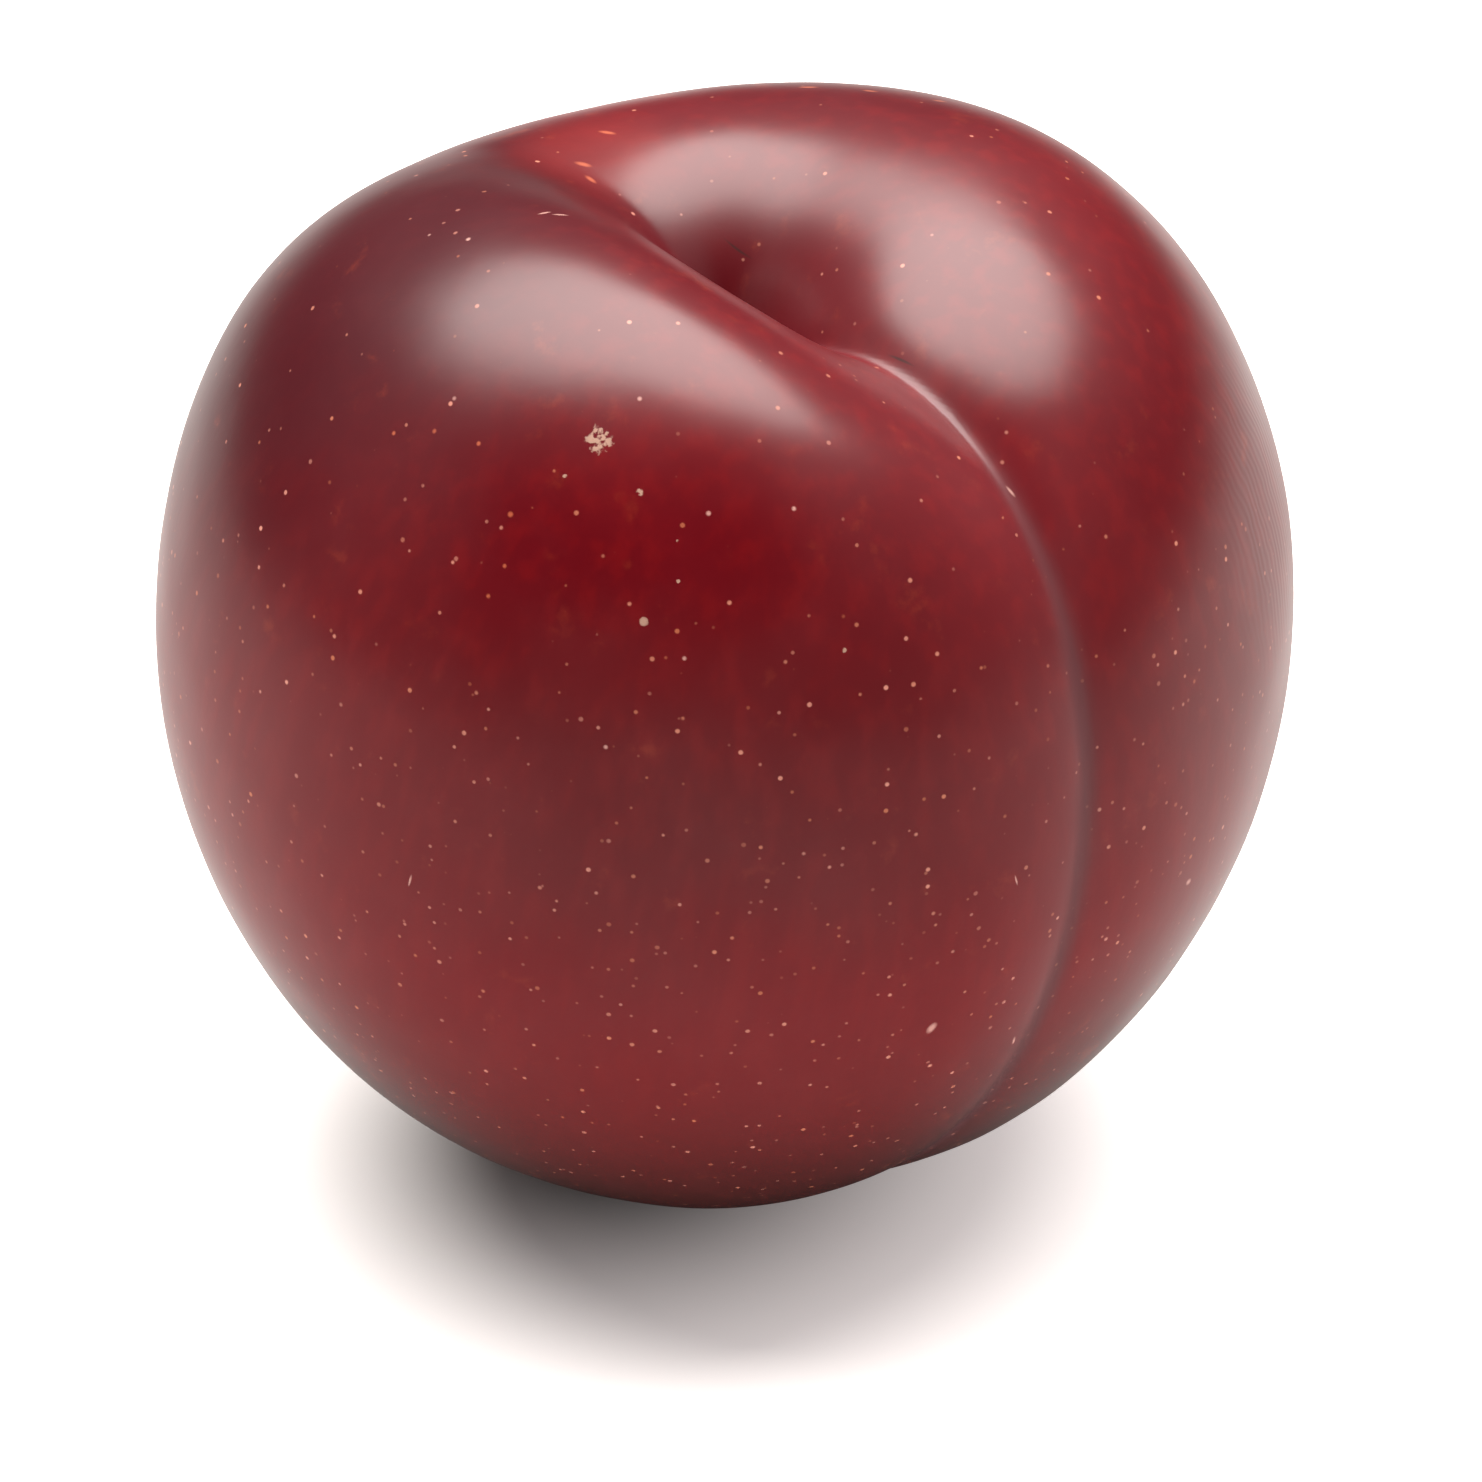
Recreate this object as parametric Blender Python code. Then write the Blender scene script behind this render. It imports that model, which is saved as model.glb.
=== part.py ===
"""A ripe red plum, built as one closed solid that sits on a small flat spot."""

import math

import bmesh
import bpy
import numpy as np

MM = 0.001

# Body: a round fruit whose radius changes slowly from one side to another.
BODY_RADIUS = 30.0 * MM
EGG = -0.014  # wider towards the stem when positive
LENGTH = 0.107  # longer from stem to tip when positive
SHOULDER = 0.011  # squarer at the stem end when positive
LOBE_FULLNESS = 0.021  # both cheeks fuller
SEAM_LEAN = 0.059  # the whole fruit swells towards its seam
CHEEK_LEAN = -0.053  # the whole fruit swells towards its smaller cheek when negative
SEAM_CHEEK_TWIST = 0.070
STEM_SEAM_TWIST = -0.020
STEM_CHEEK_TWIST = 0.021

# How the fruit grew against how it now lies, in degrees.
STEM_TILT = 13.75
STEM_AZIMUTH = -55.0
SEAM_AZIMUTH = -29.9

# Two low swellings: height, degrees from the stem, degrees round it, spread in degrees.
SIDE_SWELL = (1.58 * MM, 79.9, -133.3, 23.8)
BACK_SWELL = (1.84 * MM, 64.7, 189.2, 18.1)

# Hollow that the stem grew from.
HOLLOW_DEPTH = 14.0 * MM
HOLLOW_SHIFT = -5.95  # degrees along the seam, away from its open end
HOLLOW_REACH_OPEN = 23.96  # degrees along the seam
HOLLOW_REACH_CLOSED = 22.60
HOLLOW_REACH_WIDE = 21.85  # degrees across the seam, to the larger side
HOLLOW_REACH_STEEP = 10.50
HOLLOW_FLOOR = 0.12  # rounds the point at the bottom
HOLLOW_POWER = 1.17

# Fold that runs out of the hollow, and the shallow seam that carries on under it.
FOLD_DEPTH = 2.60 * MM
FOLD_REACH = 38.0
FOLD_WIDTH = 4.20
VALLEY_DEPTH = 0.45 * MM
VALLEY_WIDTH = 9.0
CREASE_DEPTH = 0.30 * MM
CREASE_WIDTH = 2.0
SEAM_START = -4.0
SEAM_END = 165.0

# Sideways drift of the seam in degrees, as powers of the way from the stem to the side.
SEAM_DRIFT = (-4.58, -19.66, -7.01, 8.18)

FLAT_DEPTH = 0.90 * MM  # skin pressed flat where the fruit rests
FLAT_EDGE = 0.15 * MM  # how softly the flat spot turns into the round
GRID_STEPS = 24  # squares along each edge of the starting cube
STEM_CROWDING = 0.15  # draws the grid towards the hollow
END_CROWDING = 0.20  # draws the grid towards both the hollow and the flat spot


def clear_scene():
    for old in list(bpy.data.objects):
        bpy.data.objects.remove(old, do_unlink=True)


def grown_axes():
    """Unit directions along the seam side, across it, and out of the stem end."""
    tilt = math.radians(STEM_TILT)
    azimuth = math.radians(STEM_AZIMUTH)
    stem = np.array(
        [
            math.sin(tilt) * math.cos(azimuth),
            math.sin(tilt) * math.sin(azimuth),
            math.cos(tilt),
        ]
    )
    azimuth = math.radians(SEAM_AZIMUTH)
    seam = np.array([math.cos(azimuth), math.sin(azimuth), 0.0])
    seam = seam - stem * seam.dot(stem)
    seam = seam / np.linalg.norm(seam)
    return np.stack([seam, np.cross(stem, seam), stem])


def swelling(directions, height, from_stem, around, spread):
    from_stem = math.radians(from_stem)
    around = math.radians(around)
    centre = np.array(
        [
            math.sin(from_stem) * math.cos(around),
            math.sin(from_stem) * math.sin(around),
            math.cos(from_stem),
        ]
    )
    sharpness = 1.0 / math.radians(spread) ** 2
    return height * np.exp(sharpness * (directions @ centre - 1.0))


def radius(directions):
    """Distance from the middle of the fruit to its skin, for directions in the grown axes."""
    seam, cheek, stem = directions.T
    size = 1.0 + EGG * stem
    size = size + LENGTH * (1.5 * stem**2 - 0.5)
    size = size + SHOULDER * (2.5 * stem**3 - 1.5 * stem)
    size = size + LOBE_FULLNESS * (cheek**2 - 1.0 / 3.0)
    size = size + SEAM_LEAN * seam + CHEEK_LEAN * cheek
    size = size + SEAM_CHEEK_TWIST * seam * cheek
    size = size + STEM_SEAM_TWIST * seam * stem
    size = size + STEM_CHEEK_TWIST * cheek * stem
    result = BODY_RADIUS * size
    result = result + swelling(directions, *SIDE_SWELL)
    result = result + swelling(directions, *BACK_SWELL)

    # Degrees along the seam from the stem, and degrees to either side of it.
    along = np.degrees(np.arctan2(seam, stem))
    along = np.where(along < -120.0, along + 360.0, along)
    way = np.clip(along, -60.0, 200.0) / 90.0
    drift = sum(step * way**power for power, step in enumerate(SEAM_DRIFT))
    across = np.degrees(np.arcsin(np.clip(cheek, -1.0, 1.0))) - drift
    along = along - HOLLOW_SHIFT

    along_reach = np.where(along > 0.0, HOLLOW_REACH_OPEN, HOLLOW_REACH_CLOSED)
    across_reach = np.where(across > 0.0, HOLLOW_REACH_WIDE, HOLLOW_REACH_STEEP)
    away = np.sqrt(
        (along / along_reach) ** 2 + (across / across_reach) ** 2 + HOLLOW_FLOOR**2
    )
    away = np.maximum(away - HOLLOW_FLOOR, 0.0)
    result = result - HOLLOW_DEPTH * np.exp(-(away**HOLLOW_POWER))

    begins = 1.0 / (1.0 + np.exp(-(along - SEAM_START) / 5.0))
    ends = 1.0 / (1.0 + np.exp((along - SEAM_END) / 8.0))
    fold = np.exp(-((np.maximum(along, 0.0) / FOLD_REACH) ** 2))
    fold = fold * np.exp(-(np.sqrt(across**2 + 1.0) - 1.0) / FOLD_WIDTH)
    result = result - FOLD_DEPTH * begins * fold
    valley = np.exp(-((across / VALLEY_WIDTH) ** 2))
    crease = np.exp(-(np.sqrt(across**2 + 0.25) - 0.5) / CREASE_WIDTH)
    seam_depth = VALLEY_DEPTH * valley + CREASE_DEPTH * crease
    return result - seam_depth * begins * ends


def ball_grid():
    """Unit directions in the grown axes, and four-sided faces over them, with no pole."""
    steps = np.tan(np.linspace(-math.pi / 4, math.pi / 4, GRID_STEPS + 1))
    numbers = {}
    points = []
    faces = []
    for axis in range(3):
        for side in (-1.0, 1.0):
            table = np.empty((GRID_STEPS + 1, GRID_STEPS + 1), dtype=int)
            for row, first in enumerate(steps):
                for column, second in enumerate(steps):
                    point = np.roll([side, first, second], axis)
                    point = point / np.linalg.norm(point)
                    key = tuple(np.round(point, 6) + 0.0)
                    if key not in numbers:
                        numbers[key] = len(points)
                        points.append(point)
                    table[row, column] = numbers[key]
            for row in range(GRID_STEPS):
                for column in range(GRID_STEPS):
                    corners = [
                        table[row, column],
                        table[row + 1, column],
                        table[row + 1, column + 1],
                        table[row, column + 1],
                    ]
                    faces.append(corners if side > 0.0 else corners[::-1])
    points = np.array(points)
    from_stem = np.arccos(np.clip(points[:, 2], -1.0, 1.0))
    drawn = from_stem - STEM_CROWDING * np.sin(from_stem)
    drawn = drawn - END_CROWDING * np.sin(2.0 * from_stem)
    level = np.maximum(np.hypot(points[:, 0], points[:, 1]), 1e-9)
    points = np.stack(
        [
            points[:, 0] / level * np.sin(drawn),
            points[:, 1] / level * np.sin(drawn),
            np.cos(drawn),
        ],
        axis=1,
    )
    return points, faces


def skin_material():
    material = bpy.data.materials.new("plum_skin")
    material.use_nodes = True
    shader = material.node_tree.nodes["Principled BSDF"]
    shader.inputs["Base Color"].default_value = (0.14, 0.006, 0.010, 1.0)
    shader.inputs["Roughness"].default_value = 0.38
    shader.inputs["Metallic"].default_value = 0.0
    return material


def press_flat(skin):
    """Levels the lowest skin, so that the fruit can rest, and rounds the level spot's edge."""
    floor = skin[:, 2].min() + FLAT_DEPTH
    above = skin[:, 2] - floor
    rounded = (np.maximum(above + FLAT_EDGE, 0.0) ** 2) / (4.0 * FLAT_EDGE)
    above = np.where(above > FLAT_EDGE, above, rounded)
    return np.column_stack([skin[:, :2], above])


def stand_on_origin(skin):
    """Moves the fruit so that the middle of its box's underside is the origin."""
    low = skin.min(axis=0)
    high = skin.max(axis=0)
    centre = (low + high) / 2
    return skin - np.array([centre[0], centre[1], low[2]])


def build_plum():
    directions, faces = ball_grid()
    skin = (directions * radius(directions)[:, None]) @ grown_axes()
    skin = stand_on_origin(press_flat(skin))
    mesh = bpy.data.meshes.new("plum")
    mesh.from_pydata(skin.tolist(), [], faces)
    shape = bmesh.new()
    shape.from_mesh(mesh)
    bmesh.ops.triangulate(shape, faces=shape.faces[:])
    bmesh.ops.recalc_face_normals(shape, faces=shape.faces[:])
    for face in shape.faces:
        face.smooth = True
    shape.to_mesh(mesh)
    shape.free()
    plum = bpy.data.objects.new("plum", mesh)
    plum.data.materials.append(skin_material())
    bpy.context.scene.collection.objects.link(plum)


clear_scene()
build_plum()
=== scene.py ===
"""A ripe red plum on a pale table under one overhead softbox."""

import math

import bmesh
import bpy
import numpy as np
from mathutils import Matrix, Vector, noise


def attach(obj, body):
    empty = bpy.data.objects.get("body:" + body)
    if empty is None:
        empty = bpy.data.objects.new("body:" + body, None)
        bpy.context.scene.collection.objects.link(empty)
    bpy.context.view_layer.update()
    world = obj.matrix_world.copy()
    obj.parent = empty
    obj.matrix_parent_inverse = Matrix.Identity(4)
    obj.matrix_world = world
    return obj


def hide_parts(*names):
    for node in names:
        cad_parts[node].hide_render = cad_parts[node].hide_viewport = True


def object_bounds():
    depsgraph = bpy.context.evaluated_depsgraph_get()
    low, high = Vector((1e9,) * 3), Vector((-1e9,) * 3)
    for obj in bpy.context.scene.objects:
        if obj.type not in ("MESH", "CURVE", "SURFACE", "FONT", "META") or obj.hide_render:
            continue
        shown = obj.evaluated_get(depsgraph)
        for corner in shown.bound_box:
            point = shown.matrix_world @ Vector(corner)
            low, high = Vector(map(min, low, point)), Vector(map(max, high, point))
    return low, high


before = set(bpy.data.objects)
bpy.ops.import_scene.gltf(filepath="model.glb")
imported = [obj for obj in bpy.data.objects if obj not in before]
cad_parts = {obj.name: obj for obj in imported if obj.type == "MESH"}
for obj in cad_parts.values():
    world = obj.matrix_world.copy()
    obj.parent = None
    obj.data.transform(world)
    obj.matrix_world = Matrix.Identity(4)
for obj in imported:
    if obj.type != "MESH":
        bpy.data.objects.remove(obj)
cad_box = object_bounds()
scene = bpy.context.scene

# The fruit.
# A plum grows as one body round its stone: two cheeks that meet at a seam, with a deep hollow where
# the stem pulled out. It is one closed skin over firm flesh, pressed flat where it lies.
MM = 0.001
BODY_RADIUS = 30.0 * MM

# The way the fruit grew, against the way it now lies: out of the stem end, and along the seam side.
STEM_TILT = math.radians(13.75)
STEM_AZIMUTH = math.radians(-55.0)
SEAM_AZIMUTH = math.radians(-29.9)
stem_way = np.array(
    [
        math.sin(STEM_TILT) * math.cos(STEM_AZIMUTH),
        math.sin(STEM_TILT) * math.sin(STEM_AZIMUTH),
        math.cos(STEM_TILT),
    ]
)
seam_way = np.array([math.cos(SEAM_AZIMUTH), math.sin(SEAM_AZIMUTH), 0.0])
seam_way = seam_way - stem_way * seam_way.dot(stem_way)
seam_way = seam_way / np.linalg.norm(seam_way)
grown_axes = np.stack([seam_way, np.cross(stem_way, seam_way), stem_way])

# Two low swellings: height, degrees from the stem, degrees round it, spread in degrees.
SWELLINGS = ((1.58 * MM, 79.9, -133.3, 23.8), (1.84 * MM, 64.7, 189.2, 18.1))

# The stem hollow and the fold that runs out of it, in degrees along and across the seam.
HOLLOW_DEPTH = 14.0 * MM
HOLLOW_SHIFT = -5.95
HOLLOW_FLOOR = 0.12
HOLLOW_POWER = 1.17
FOLD_DEPTH = 2.60 * MM
FOLD_REACH = 38.0
FOLD_WIDTH = 4.20
VALLEY_DEPTH = 0.45 * MM
VALLEY_WIDTH = 9.0
CREASE_DEPTH = 0.30 * MM
CREASE_WIDTH = 2.0
SEAM_DRIFT = (-4.58, -19.66, -7.01, 8.18)


def skin_radius(ways):
    """The skin's distance from the middle along unit directions, and where the seam and hollow are."""
    seam, cheek, stem = ways.T
    size = 1.0 - 0.014 * stem + 0.107 * (1.5 * stem**2 - 0.5)
    size = size + 0.011 * (2.5 * stem**3 - 1.5 * stem) + 0.021 * (cheek**2 - 1.0 / 3.0)
    size = size + 0.059 * seam - 0.053 * cheek + 0.070 * seam * cheek
    size = size - 0.020 * seam * stem + 0.021 * cheek * stem
    result = BODY_RADIUS * size
    for height, from_stem, around, spread in SWELLINGS:
        from_stem, around = math.radians(from_stem), math.radians(around)
        peak = np.array(
            [
                math.sin(from_stem) * math.cos(around),
                math.sin(from_stem) * math.sin(around),
                math.cos(from_stem),
            ]
        )
        result = result + height * np.exp((ways @ peak - 1.0) / math.radians(spread) ** 2)

    along = np.degrees(np.arctan2(seam, stem))
    along = np.where(along < -120.0, along + 360.0, along)
    turns = np.clip(along, -60.0, 200.0) / 90.0
    drift = sum(step * turns**power for power, step in enumerate(SEAM_DRIFT))
    across = np.degrees(np.arcsin(np.clip(cheek, -1.0, 1.0))) - drift
    along = along - HOLLOW_SHIFT
    reach_along = np.where(along > 0.0, 23.96, 22.60)
    reach_across = np.where(across > 0.0, 21.85, 10.50)
    away = np.sqrt(
        (along / reach_along) ** 2 + (across / reach_across) ** 2 + HOLLOW_FLOOR**2
    )
    hollow = np.exp(-(np.maximum(away - HOLLOW_FLOOR, 0.0) ** HOLLOW_POWER))
    begins = 1.0 / (1.0 + np.exp(-(along + 4.0) / 5.0))
    ends = 1.0 / (1.0 + np.exp((along - 165.0) / 8.0))
    fold = np.exp(-((np.maximum(along, 0.0) / FOLD_REACH) ** 2))
    fold = fold * np.exp(-(np.sqrt(across**2 + 1.0) - 1.0) / FOLD_WIDTH)
    crease = np.exp(-(np.sqrt(across**2 + 0.25) - 0.5) / CREASE_WIDTH)
    valley = np.exp(-((across / VALLEY_WIDTH) ** 2))
    result = result - HOLLOW_DEPTH * hollow - FOLD_DEPTH * begins * fold
    result = result - (VALLEY_DEPTH * valley + CREASE_DEPTH * crease) * begins * ends
    return result, across, along, begins * ends, hollow


# An even net of squares over a ball, drawn in towards the hollow and the resting spot.
NET_SQUARES = 96
net_lines = np.tan(np.linspace(-math.pi / 4, math.pi / 4, NET_SQUARES + 1))
first, second = np.meshgrid(net_lines, net_lines, indexing="ij")
patches, patch_faces = [], []
numbers = np.arange((NET_SQUARES + 1) ** 2).reshape(NET_SQUARES + 1, NET_SQUARES + 1)
for axis in range(3):
    for side in (-1.0, 1.0):
        patch = np.stack([np.full_like(first, side), first, second], axis=-1)
        patch = np.roll(patch, axis, axis=-1).reshape(-1, 3)
        corners = [numbers[:-1, :-1], numbers[1:, :-1], numbers[1:, 1:], numbers[:-1, 1:]]
        corners = np.stack(corners, axis=-1).reshape(-1, 4)
        if side < 0.0:
            corners = corners[:, ::-1]
        patch_faces.append(corners + len(patches) * numbers.size)
        patches.append(patch / np.linalg.norm(patch, axis=1)[:, None])
ways = np.concatenate(patches)
faces = np.concatenate(patch_faces)
_, keep, joined = np.unique(
    np.round(ways, 6) + 0.0, axis=0, return_index=True, return_inverse=True
)
ways = ways[keep]
faces = joined.reshape(-1)[faces]
from_stem = np.arccos(np.clip(ways[:, 2], -1.0, 1.0))
drawn = from_stem - 0.15 * np.sin(from_stem) - 0.20 * np.sin(2.0 * from_stem)
level = np.maximum(np.hypot(ways[:, 0], ways[:, 1]), 1e-9)
ways = np.column_stack(
    [ways[:, 0] / level * np.sin(drawn), ways[:, 1] / level * np.sin(drawn), np.cos(drawn)]
)

radii, across, along, seam_reach, hollow = skin_radius(ways)
grown = ways * radii[:, None]

# Flesh is never quite even: broad dents a few millimetres across, a fraction of a tenth deep.
dents = np.array([noise.noise(Vector(point) / (9.0 * MM)) for point in grown])
dents = dents + 0.4 * np.array([noise.noise(Vector(point) / (3.5 * MM)) for point in grown])
skin = (ways * (radii + 0.07 * MM * dents)[:, None]) @ grown_axes

# The lowest skin is pressed level and eases into the round, and the fruit stands on z = 0.
FLAT_DEPTH = 0.90 * MM
FLAT_EDGE = 0.15 * MM
table_level = skin[:, 2].min() + FLAT_DEPTH
above = skin[:, 2] - table_level
eased = np.maximum(above + FLAT_EDGE, 0.0) ** 2 / (4.0 * FLAT_EDGE)
skin[:, 2] = np.where(above > FLAT_EDGE, above, eased)
cad_middle = (np.array(cad_box[0]) + np.array(cad_box[1])) / 2
shift = cad_middle - (skin.min(axis=0) + skin.max(axis=0)) / 2
shift[2] = 0.0
skin = skin + shift
middle = Vector((shift[0], shift[1], -table_level))

plum_mesh = bpy.data.meshes.new("plum_fruit")
plum_mesh.from_pydata(skin.tolist(), [], faces.tolist())
plum_mesh.shade_smooth()
seam_wide = np.where(across < 0.0, 9.0, 3.5)
past_fold = 1.0 / (1.0 + np.exp(-(along - 42.0) / 6.0))
for name, values in (
    ("seam_near", np.exp(-((across / seam_wide) ** 2)) * seam_reach),
    ("groove_near", np.exp(-((across / 1.1) ** 2)) * seam_reach * past_fold),
    ("hollow_near", hollow),
):
    layer = plum_mesh.attributes.new(name, "FLOAT", "POINT")
    layer.data.foreach_set("value", values.astype(np.float32))
layer = plum_mesh.attributes.new("grown", "FLOAT_VECTOR", "POINT")
layer.data.foreach_set("vector", (grown * 1000.0).astype(np.float32).ravel())
plum = bpy.data.objects.new("plum_fruit", plum_mesh)
scene.collection.objects.link(plum)


def linear(colour):
    """A colour written as sRGB hex, as the shader wants it."""
    parts = [int(colour[spot : spot + 2], 16) / 255.0 for spot in (1, 3, 5)]
    parts = [p / 12.92 if p <= 0.04045 else ((p + 0.055) / 1.055) ** 2.4 for p in parts]
    return (*parts, 1.0)


def add(tree, kind, inputs=None, **settings):
    """Adds a node, sets it up, and fills its inputs with values or with links."""
    node = tree.nodes.new("ShaderNode" + kind)
    for name, value in settings.items():
        setattr(node, name, value)
    for socket, value in (inputs or {}).items():
        if isinstance(value, bpy.types.NodeSocket):
            tree.links.new(value, node.inputs[socket])
        else:
            node.inputs[socket].default_value = value
    return node


# Plum skin: a thin, tight, crimson film with a natural wax on it. The pigment is deep and clear, so
# it reads nearly black-red where nothing shines in it; the wax gives a soft gloss and a pale rim.
skin_paint = bpy.data.materials.new("plum_skin_waxed")
skin_paint.use_nodes = True
tree = skin_paint.node_tree
shader = tree.nodes["Principled BSDF"]
place = add(tree, "TexCoord").outputs["Object"]
in_mm = add(tree, "VectorMath", {0: place, "Scale": 1000.0}, operation="SCALE").outputs[0]
grown_at = add(tree, "Attribute", attribute_name="grown").outputs["Vector"]
seam_near = add(tree, "Attribute", attribute_name="seam_near").outputs["Fac"]
groove_near = add(tree, "Attribute", attribute_name="groove_near").outputs["Fac"]
hollow_near = add(tree, "Attribute", attribute_name="hollow_near").outputs["Fac"]

# Pigment: deepest over the shoulders and thinner low down, in broad clouds 14 mm across, with fine
# strokes that run from stem to tip.
up_skin = add(tree, "SeparateXYZ", {0: in_mm}).outputs["Z"]
low_skin = add(
    tree,
    "MapRange",
    {0: up_skin, 1: 52.0, 2: 8.0, 3: 0.0, 4: 1.0},
    interpolation_type="SMOOTHSTEP",
).outputs[0]
clouds = add(tree, "TexNoise", {"Vector": in_mm, "Scale": 1 / 14.0, "Detail": 3.0}).outputs[0]
clouds = add(
    tree, "MapRange", {0: clouds, 1: 0.35, 2: 0.68, 3: 0.0, 4: 1.0}, interpolation_type="SMOOTHSTEP"
).outputs[0]
stroked = add(tree, "VectorMath", {0: grown_at, 1: (1.0, 1.0, 0.22)}, operation="MULTIPLY")
strokes = add(
    tree, "TexNoise", {"Vector": stroked.outputs[0], "Scale": 1 / 1.1, "Detail": 4.0}
).outputs[0]
strokes = add(
    tree, "MapRange", {0: strokes, 1: 0.42, 2: 0.72, 3: 0.0, 4: 0.24}, interpolation_type="SMOOTHSTEP"
).outputs[0]
colour = add(
    tree,
    "Mix",
    {0: low_skin, 6: linear("#58000A"), 7: linear("#74000B")},
    data_type="RGBA",
).outputs[2]
clouds = add(tree, "Math", {0: clouds, 1: 0.35}, operation="MULTIPLY").outputs[0]
colour = add(
    tree, "Mix", {0: clouds, 6: colour, 7: linear("#70010C")}, data_type="RGBA"
).outputs[2]
colour = add(
    tree, "Mix", {0: strokes, 6: colour, 7: linear("#7E0909")}, data_type="RGBA"
).outputs[2]

# Close to the table the skin is painted a dull brown-red, a painted shade low on the fruit where it
# meets the table.
painted_shade_near_table = add(
    tree,
    "MapRange",
    {0: up_skin, 1: 27.0, 2: 5.0, 3: 0.0, 4: 0.9},
    interpolation_type="SMOOTHSTEP",
).outputs[0]
colour = add(
    tree, "Mix", {0: painted_shade_near_table, 6: colour, 7: linear("#3C0A08")}, data_type="RGBA"
).outputs[2]

# Two shoulders are a deeper, blacker red: place in mm, reach in mm, and share.
# One patch at the hollow's lip is a brighter, orange red.
SHOULDER_TINTS = (
    ((-20.0, -2.0, 54.0), 24.0, 0.80, "#34000A"),
    ((8.0, 22.0, 54.0), 20.0, 0.65, "#34000A"),
    ((-7.0, 5.5, 57.0), 6.0, 0.30, "#8E1C18"),
)
for spot, reach, share, shade in SHOULDER_TINTS:
    gap = add(tree, "VectorMath", {0: in_mm, 1: spot}, operation="DISTANCE").outputs["Value"]
    shoulder_tint = add(
        tree,
        "MapRange",
        {0: gap, 1: reach, 2: 0.3 * reach, 3: 0.0, 4: share},
        interpolation_type="SMOOTHSTEP",
    ).outputs[0]
    colour = add(
        tree, "Mix", {0: shoulder_tint, 6: colour, 7: linear(shade)}, data_type="RGBA"
    ).outputs[2]

# Deep in the hollow the skin is painted darker, a painted shade in the recess, and round the stem's
# torn place it is dry and brown.
hollow_shade = add(
    tree,
    "MapRange",
    {0: hollow_near, 1: 0.45, 2: 0.80, 3: 0.0, 4: 0.75},
    interpolation_type="SMOOTHSTEP",
).outputs[0]
colour = add(tree, "Mix", {0: hollow_shade, 6: colour, 7: linear("#56000C")}, data_type="RGBA").outputs[2]
stem_scar = add(
    tree,
    "MapRange",
    {0: hollow_near, 1: 0.975, 2: 0.995, 3: 0.0, 4: 0.9},
    interpolation_type="SMOOTHSTEP",
).outputs[0]
colour = add(
    tree, "Mix", {0: stem_scar, 6: colour, 7: linear("#5A4028")}, data_type="RGBA"
).outputs[2]

# Orange flecks where the ripening colour under the red shows through, 2 to 3 mm across.
flecks = add(tree, "TexNoise", {"Vector": in_mm, "Scale": 1 / 2.6, "Detail": 5.0, "Roughness": 0.62})
flecks = add(
    tree,
    "MapRange",
    {0: flecks.outputs[0], 1: 0.60, 2: 0.76, 3: 0.0, 4: 0.22},
    interpolation_type="SMOOTHSTEP",
).outputs[0]
colour = add(
    tree, "Mix", {0: flecks, 6: colour, 7: linear("#9A3A1C")}, data_type="RGBA"
).outputs[2]

# Pores: pale pink-tan dots 0.15 to 0.3 mm across, far more of them low down. A dot shows where a
# small ball cuts the skin. Each layer is its spacing in mm, the dots' edge and core as shares of
# that, the share of balls shown at the top and low down, and how strongly they show.
PORES = ((1.25, 0.130, 0.060, 0.22, 0.85, 0.95), (0.80, 0.160, 0.070, 0.12, 0.60, 0.60))
pore = None
for spacing, edge, core, share_top, share_low, strength in PORES:
    balls = add(tree, "TexVoronoi", {"Vector": in_mm, "Scale": 1 / spacing}, feature="F1")
    pick = add(tree, "SeparateColor", {0: balls.outputs["Color"]})
    dot = add(
        tree,
        "MapRange",
        {0: balls.outputs["Distance"], 1: edge, 2: core, 3: 0.0, 4: strength},
        interpolation_type="SMOOTHSTEP",
    ).outputs[0]
    density = add(
        tree,
        "MapRange",
        {0: up_skin, 1: 56.0, 2: 28.0, 3: share_top, 4: share_low},
        interpolation_type="SMOOTHSTEP",
    ).outputs[0]
    shown = add(tree, "Math", {0: pick.outputs[0], 1: density}, operation="LESS_THAN").outputs[0]
    faint = add(tree, "MapRange", {0: pick.outputs[2], 3: 0.35, 4: 1.0}).outputs[0]
    dot = add(tree, "Math", {0: dot, 1: shown}, operation="MULTIPLY").outputs[0]
    dot = add(tree, "Math", {0: dot, 1: faint}, operation="MULTIPLY").outputs[0]
    pale = add(
        tree,
        "Mix",
        {0: pick.outputs[1], 6: linear("#C88474"), 7: linear("#B0603E")},
        data_type="RGBA",
    ).outputs[2]
    colour = add(tree, "Mix", {0: dot, 6: colour, 7: pale}, data_type="RGBA").outputs[2]
    if pore is None:
        pore = dot
    else:
        pore = add(tree, "Math", {0: pore, 1: dot}, operation="MAXIMUM").outputs[0]

# Wax bloom: a grey-pink breath of wax, rubbed thin in patches, with a thicker pale veil along the
# seam that is a painted sheen.
wax_and_seam_sheen = add(tree, "TexNoise", {"Vector": in_mm, "Scale": 1 / 5.0, "Detail": 6.0, "Roughness": 0.6})
wax_and_seam_sheen = add(
    tree,
    "MapRange",
    {0: wax_and_seam_sheen.outputs[0], 1: 0.40, 2: 0.80, 3: 0.0, 4: 0.008},
    interpolation_type="SMOOTHSTEP",
).outputs[0]
seam_sheen = add(tree, "Math", {0: seam_near, 1: 0.022}, operation="MULTIPLY").outputs[0]
wax_and_seam_sheen = add(tree, "Math", {0: wax_and_seam_sheen, 1: seam_sheen}, operation="ADD").outputs[0]
colour = add(tree, "Mix", {0: wax_and_seam_sheen, 6: colour, 7: linear("#B08A90")}, data_type="RGBA").outputs[2]

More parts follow.
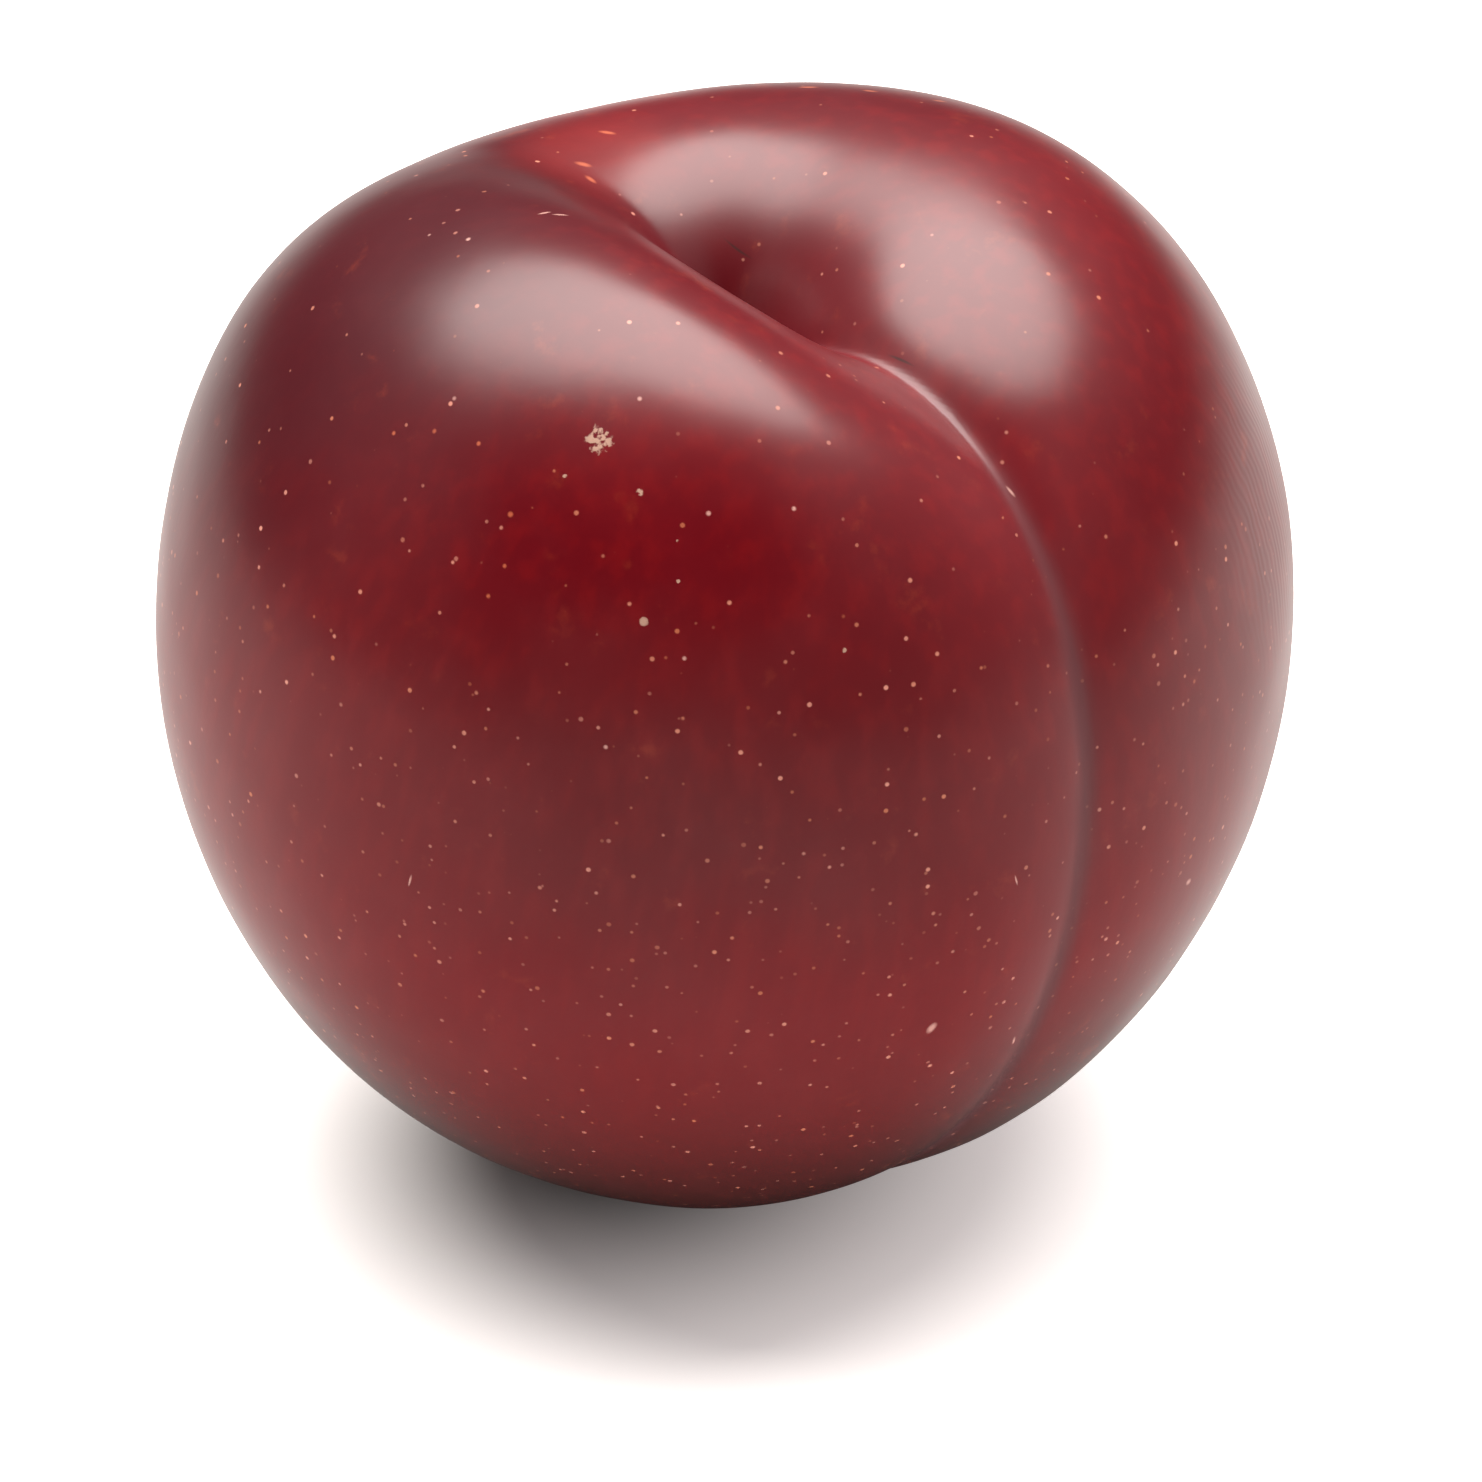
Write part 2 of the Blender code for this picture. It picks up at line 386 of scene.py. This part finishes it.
# Along the seam's groove the skin is painted a dull grey-purple line, a painted shade in the crease.
groove_shade = add(tree, "Math", {0: groove_near, 1: 0.65}, operation="MULTIPLY").outputs[0]
colour = add(
    tree, "Mix", {0: groove_shade, 6: colour, 7: linear("#5A2E33")}, data_type="RGBA"
).outputs[2]

# Corky scars: dry, crumbly, tan-grey skin where a leaf rubbed the young fruit. Each is given by its
# place from the table's middle in mm, its half-width in mm, and how broken up it is.
SCARS = (
    ((-6.3, -19.6, 54.8), 1.3, 0.75),
    ((-8.0, -20.5, 53.3), 0.28, 0.80),
    ((-4.3, -21.6, 53.0), 0.38, 0.85),
    ((-4.1, -24.8, 47.5), 0.38, 0.10),
    ((-2.4, -23.1, 51.1), 0.22, 0.80),
    ((-2.4, -24.1, 49.4), 0.20, 0.80),
    ((5.8, -24.8, 45.8), 0.28, 0.75),
)
crumbs = add(tree, "TexNoise", {"Vector": in_mm, "Scale": 1 / 0.28, "Detail": 5.0}).outputs[0]
scar = None
for spot, half_width, broken in SCARS:
    reach = add(tree, "VectorMath", {0: in_mm, 1: spot}, operation="DISTANCE").outputs["Value"]
    near = add(
        tree,
        "MapRange",
        {0: reach, 1: half_width, 2: half_width * 0.3, 3: 0.0, 4: 1.0},
        interpolation_type="SMOOTHSTEP",
    ).outputs[0]
    limit = add(
        tree, "MapRange", {0: near, 1: 0.0, 2: 1.0, 3: 1.0, 4: 0.62 - 0.62 * (1 - broken)}
    ).outputs[0]
    part = add(tree, "Math", {0: crumbs, 1: limit}, operation="SUBTRACT").outputs[0]
    part = add(tree, "MapRange", {0: part, 1: -0.06, 2: 0.05, 3: 0.0, 4: 0.85}).outputs[0]
    part = add(tree, "Math", {0: part, 1: near}, operation="MULTIPLY").outputs[0]
    if scar is None:
        scar = part
    else:
        scar = add(tree, "Math", {0: scar, 1: part}, operation="MAXIMUM").outputs[0]
colour = add(tree, "Mix", {0: scar, 6: colour, 7: linear("#A88470")}, data_type="RGBA").outputs[2]

# Small marks of a summer on the tree: pale scratches and rubs, orange streaks at the hollow's lip, a
# crack in the fold, and the biggest pores. Each is its middle and the way it runs in mm, its half
# length and half width in mm; a pore runs no way.
MARKS = {
    "#D6A296": (
        0.60,
        (
            ((-16.0, -24.3, 31.7), (0.3, 0.0, 1.0), 0.45, 0.07),
            ((14.6, -23.5, 31.2), (-0.3, 0.0, 1.0), 0.40, 0.06),
            ((10.4, -24.5, 22.8), (0.4, 0.0, 1.0), 0.45, 0.07),
            ((14.8, -20.3, 19.1), (-0.2, 0.0, 1.0), 0.40, 0.07),
            ((14.2, -15.5, 49.3), (0.5, -0.3, -1.0), 0.40, 0.07),
            ((24.0, -14.5, 25.1), (0.0, 0.2, 1.0), 0.25, 0.03),
            ((-8.4, -5.3, 59.5), (1.0, 0.2, 0.0), 0.45, 0.10),
            ((-9.2, -5.2, 59.5), (1.0, 0.6, 0.0), 0.40, 0.10),
            ((-13.0, -7.0, 59.0), None, 0.16, 0.16),
            ((-15.0, -5.4, 58.3), None, 0.14, 0.14),
            ((-13.5, -15.8, 54.9), None, 0.17, 0.17),
            ((-0.9, -22.3, 52.2), None, 0.16, 0.16),
            ((-4.3, -18.3, 56.4), None, 0.15, 0.15),
            ((3.3, -21.7, 52.1), None, 0.15, 0.15),
            ((-2.1, -25.7, 45.9), None, 0.14, 0.14),
            ((-6.0, -26.6, 41.3), None, 0.15, 0.15),
        ),
    ),
    "#C96A48": (
        0.50,
        (
            ((-6.2, 7.7, 57.0), (1.0, -0.5, 0.0), 0.55, 0.20),
            ((-7.4, 4.3, 57.0), (1.0, -0.3, 0.0), 0.50, 0.22),
            ((-7.0, 3.0, 56.8), (1.0, -0.8, 0.0), 0.40, 0.20),
            ((4.3, 12.3, 57.2), (1.0, 0.0, 0.0), 0.60, 0.16),
            ((7.5, 11.2, 57.6), (1.0, -0.3, 0.0), 0.50, 0.14),
            ((11.1, 10.2, 57.5), (1.0, 0.3, 0.0), 0.45, 0.14),
            ((-14.5, -16.6, 53.5), None, 0.17, 0.17),
            ((-16.6, -15.6, 52.8), None, 0.14, 0.14),
            ((-12.3, -18.1, 53.7), None, 0.15, 0.15),
            ((-10.7, -20.9, 51.3), None, 0.18, 0.18),
            ((-11.0, -22.2, 49.1), None, 0.14, 0.14),
            ((-11.8, -22.6, 47.6), None, 0.15, 0.15),
        ),
    ),
    "#2E1512": (
        0.80,
        (
            ((8.8, -9.4, 53.3), (1.0, -0.95, -0.05), 1.10, 0.06),
            ((0.6, 1.3, 53.8), (1.0, -0.7, -0.5), 1.10, 0.06),
            ((29.1, -4.7, 28.7), (0.0, 0.2, 1.0), 0.60, 0.08),
        ),
    ),
}
MARK_DEPTH = 0.8
FRUIT_HEART = Vector((0.0, 0.0, 30.0))
for shade, (share, group) in MARKS.items():
    marked = None
    for spot, runs, half_length, half_width in group:
        outward = (Vector(spot) - FRUIT_HEART).normalized()
        side = Vector(runs or (1.0, 0.3, 0.2)).cross(outward).normalized()
        length_way = outward.cross(side)
        turn = Matrix((length_way, side, outward)).transposed().to_euler()
        depth = half_width if runs is None else MARK_DEPTH
        inside = add(
            tree,
            "Mapping",
            {0: in_mm, 1: spot, 2: turn, 3: (half_length, half_width, depth)},
            vector_type="TEXTURE",
        ).outputs[0]
        reach = add(tree, "VectorMath", {0: inside}, operation="LENGTH").outputs["Value"]
        mark = add(tree, "MapRange", {0: reach, 1: 1.0, 2: 0.4, 3: 0.0, 4: share}).outputs[0]
        if marked is None:
            marked = mark
        else:
            marked = add(tree, "Math", {0: marked, 1: mark}, operation="MAXIMUM").outputs[0]
    colour = add(tree, "Mix", {0: marked, 6: colour, 7: linear(shade)}, data_type="RGBA").outputs[2]

# The wax dulls the gloss in patches, and scars are matt.
dulled = add(tree, "TexNoise", {"Vector": in_mm, "Scale": 1 / 7.0, "Detail": 0.0}).outputs[0]
gloss = add(tree, "MapRange", {0: dulled, 1: 0.3, 2: 0.7, 3: 0.28, 4: 0.33}).outputs[0]
gloss = add(tree, "Mix", {0: hollow_shade, 2: gloss, 3: 0.38}, data_type="FLOAT").outputs[0]
gloss = add(tree, "Mix", {0: groove_shade, 2: gloss, 3: 0.65}, data_type="FLOAT").outputs[0]
gloss = add(tree, "Mix", {0: scar, 2: gloss, 3: 0.85}, data_type="FLOAT").outputs[0]

# Relief: leathery grain 0.4 mm apart, strokes from stem to tip, pores that stand a hair proud, fine
# puckers on the flank that dried first, and raised scars.
grain = add(tree, "TexNoise", {"Vector": in_mm, "Scale": 1 / 0.45, "Detail": 3.0}).outputs[0]
relief = add(tree, "Math", {0: strokes, 1: 2.5, 2: grain}, operation="MULTIPLY_ADD").outputs[0]
relief = add(tree, "Math", {0: pore, 1: 0.8, 2: relief}, operation="MULTIPLY_ADD").outputs[0]
creased = add(
    tree, "VectorMath", {0: in_mm, 1: (27.5, -3.0, 41.0)}, operation="DISTANCE"
).outputs["Value"]
creased = add(
    tree, "MapRange", {0: creased, 1: 10.0, 2: 3.0, 3: 0.0, 4: 3.0}, interpolation_type="SMOOTHSTEP"
).outputs[0]
ridges = add(
    tree,
    "TexWave",
    {"Vector": in_mm, "Scale": 0.55, "Distortion": 6.0, "Detail": 2.0, "Detail Scale": 0.6},
    bands_direction="Y",
).outputs["Fac"]
relief = add(tree, "Math", {0: ridges, 1: creased, 2: relief}, operation="MULTIPLY_ADD").outputs[0]
relief = add(tree, "Math", {0: scar, 1: 3.0, 2: relief}, operation="MULTIPLY_ADD").outputs[0]
bump = add(tree, "Bump", {"Strength": 0.12, "Distance": 0.02 * MM, "Height": relief}).outputs[0]

tree.links.new(colour, shader.inputs["Base Color"])
tree.links.new(gloss, shader.inputs["Roughness"])
tree.links.new(bump, shader.inputs["Normal"])
shader.inputs["Metallic"].default_value = 0.0
shader.inputs["IOR"].default_value = 1.5
plum.data.materials.append(skin_paint)
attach(plum, "root")
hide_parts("plum")

# The table.
# A wide sheet of white acrylic that glows, though it is no lamp: a far glow keeps it pale to its far
# edge, and only the fruit's own shadow falls on it. A painted glow round the fruit's foot, centred a
# little to its left, lightens and shapes that shadow.
TABLE_HALF = 6.0
table_mesh = bpy.data.meshes.new("table")
table_mesh.from_pydata(
    [
        (-TABLE_HALF, -TABLE_HALF, 0.0),
        (TABLE_HALF, -TABLE_HALF, 0.0),
        (TABLE_HALF, TABLE_HALF, 0.0),
        (-TABLE_HALF, TABLE_HALF, 0.0),
    ],
    [],
    [(0, 1, 2, 3)],
)
table = bpy.data.objects.new("table", table_mesh)
scene.collection.objects.link(table)
acrylic = bpy.data.materials.new("white_acrylic_table")
acrylic.use_nodes = True
tree = acrylic.node_tree
shader = tree.nodes["Principled BSDF"]
shader.inputs["Base Color"].default_value = linear("#E8E4E2")
shader.inputs["Roughness"].default_value = 0.9
shader.inputs["Specular IOR Level"].default_value = 0.0
place = add(tree, "TexCoord").outputs["Object"]
out_from_fruit = add(tree, "VectorMath", {0: place}, operation="LENGTH").outputs["Value"]
from_foot = add(
    tree, "VectorMath", {0: place, 1: (-0.008, -0.001, 0.0)}, operation="DISTANCE"
).outputs["Value"]
painted_shadow_fill = add(
    tree,
    "MapRange",
    {0: from_foot, 1: 0.003, 2: 0.030, 3: 0.0, 4: 0.62},
    interpolation_type="SMOOTHSTEP",
).outputs[0]
far_glow = add(
    tree,
    "MapRange",
    {0: out_from_fruit, 1: 0.12, 2: 1.6, 3: 0.0, 4: 0.6},
    interpolation_type="SMOOTHSTEP",
).outputs[0]
glow = add(tree, "Math", {0: painted_shadow_fill, 1: far_glow}, operation="ADD").outputs[0]
# The glow is faintly pink, a painted stand-in for the red light the fruit throws into its shadow.
shader.inputs["Emission Color"].default_value = (1.0, 0.92, 0.91, 1.0)
tree.links.new(glow, shader.inputs["Emission Strength"])

# In the skin's gloss the table is a painted reflection glow, dimmest straight in front, where the
# camera stands over it, with a painted shadow round the fruit's foot and fading far off.
table_way = add(tree, "VectorMath", {0: place}, operation="NORMALIZE").outputs[0]
frontness = add(
    tree, "VectorMath", {0: table_way, 1: (0.0, -1.0, 0.0)}, operation="DOT_PRODUCT"
).outputs["Value"]
mirrored = add(
    tree,
    "MapRange",
    {0: frontness, 1: 0.97, 2: -0.50, 3: 0.30, 4: 1.35},
    interpolation_type="SMOOTHSTEP",
).outputs[0]
foot_shade = add(
    tree,
    "MapRange",
    {0: out_from_fruit, 1: 0.010, 2: 0.034, 3: 0.06, 4: 1.0},
    interpolation_type="SMOOTHSTEP",
).outputs[0]
far_shade = add(
    tree,
    "MapRange",
    {0: out_from_fruit, 1: 0.14, 2: 0.60, 3: 1.0, 4: 0.15},
    interpolation_type="SMOOTHSTEP",
).outputs[0]
mirrored = add(tree, "Math", {0: mirrored, 1: foot_shade}, operation="MULTIPLY").outputs[0]
mirrored = add(tree, "Math", {0: mirrored, 1: far_shade}, operation="MULTIPLY").outputs[0]
painted_table_reflection = add(tree, "Emission", {"Color": (1.0, 0.95, 0.90, 1.0), "Strength": mirrored})
in_gloss = add(tree, "LightPath").outputs["Is Glossy Ray"]
surface = add(
    tree, "MixShader", {0: in_gloss, 1: shader.outputs[0], 2: painted_table_reflection.outputs[0]}
).outputs[0]
tree.links.new(surface, tree.nodes["Material Output"].inputs["Surface"])
table.data.materials.append(acrylic)

# The light.
# One long softbox hangs over the fruit and a little to the left. The room beyond is dark, as the
# skin shows it, and stays pale only where the camera looks straight past the table.
SOFTBOX_LONG = 2.8
SOFTBOX_DEEP = 1.6
SOFTBOX_RADIANCE = 8.6
softbox_lamp = bpy.data.lights.new("softbox", "AREA")
softbox_lamp.shape = "ELLIPSE"
softbox_lamp.size = SOFTBOX_LONG
softbox_lamp.size_y = SOFTBOX_DEEP
softbox_lamp.energy = SOFTBOX_RADIANCE * math.pi * (math.pi / 4) * SOFTBOX_LONG * SOFTBOX_DEEP
softbox_lamp.color = (1.0, 0.985, 0.95)
softbox = bpy.data.objects.new("softbox", softbox_lamp)
softbox.location = (-0.18, 0.42, 1.50)
scene.collection.objects.link(softbox)

# The room is a dim grey, and darker at the end where the camera stands. Past the table it is white.
DARK_END = (-0.17, -0.80, 0.57)
world = bpy.data.worlds.new("grey_room")
world.use_nodes = True
scene.world = world
tree = world.node_tree
back = tree.nodes["Background"]
outward = add(tree, "TexCoord").outputs["Generated"]
to_dark = add(tree, "VectorMath", {0: outward, 1: DARK_END}, operation="DOT_PRODUCT").outputs["Value"]
walls = add(
    tree,
    "MapRange",
    {0: to_dark, 1: 0.60, 2: 0.88, 3: 1.0, 4: 0.0},
    interpolation_type="SMOOTHSTEP",
).outputs[0]
upness = add(tree, "SeparateXYZ", {0: outward}).outputs["Z"]
higher = add(
    tree, "MapRange", {0: upness, 1: 0.0, 2: 0.6, 3: 0.08, 4: 0.42}, interpolation_type="SMOOTHSTEP"
).outputs[0]
walls = add(tree, "Math", {0: walls, 1: higher}, operation="MULTIPLY").outputs[0]
seen = add(tree, "LightPath").outputs["Is Camera Ray"]
room = add(tree, "Mix", {0: seen, 6: walls, 7: (1.0, 1.0, 1.0, 1.0)}, data_type="RGBA").outputs[2]
tree.links.new(room, back.inputs["Color"])
scene.view_settings.view_transform = "Standard"

# The camera looks down on the fruit from in front, from under half a metre away.
CAMERA_DISTANCE = 0.430
CAMERA_ELEVATION = math.radians(32.0)
camera_data = bpy.data.cameras.new("camera")
camera_data.sensor_width = 36.0
camera_data.lens = 196.9
camera = bpy.data.objects.new("camera", camera_data)
scene.collection.objects.link(camera)
toward = Vector((0.0, -math.cos(CAMERA_ELEVATION), math.sin(CAMERA_ELEVATION)))
upward = Vector((0.0, math.sin(CAMERA_ELEVATION), math.cos(CAMERA_ELEVATION)))
camera.location = middle + toward * CAMERA_DISTANCE
aim = middle + Vector((0.57 * MM, 0.0, 0.0)) - upward * 7.97 * MM
camera.rotation_euler = (aim - camera.location).to_track_quat("-Z", "Y").to_euler()
scene.camera = camera
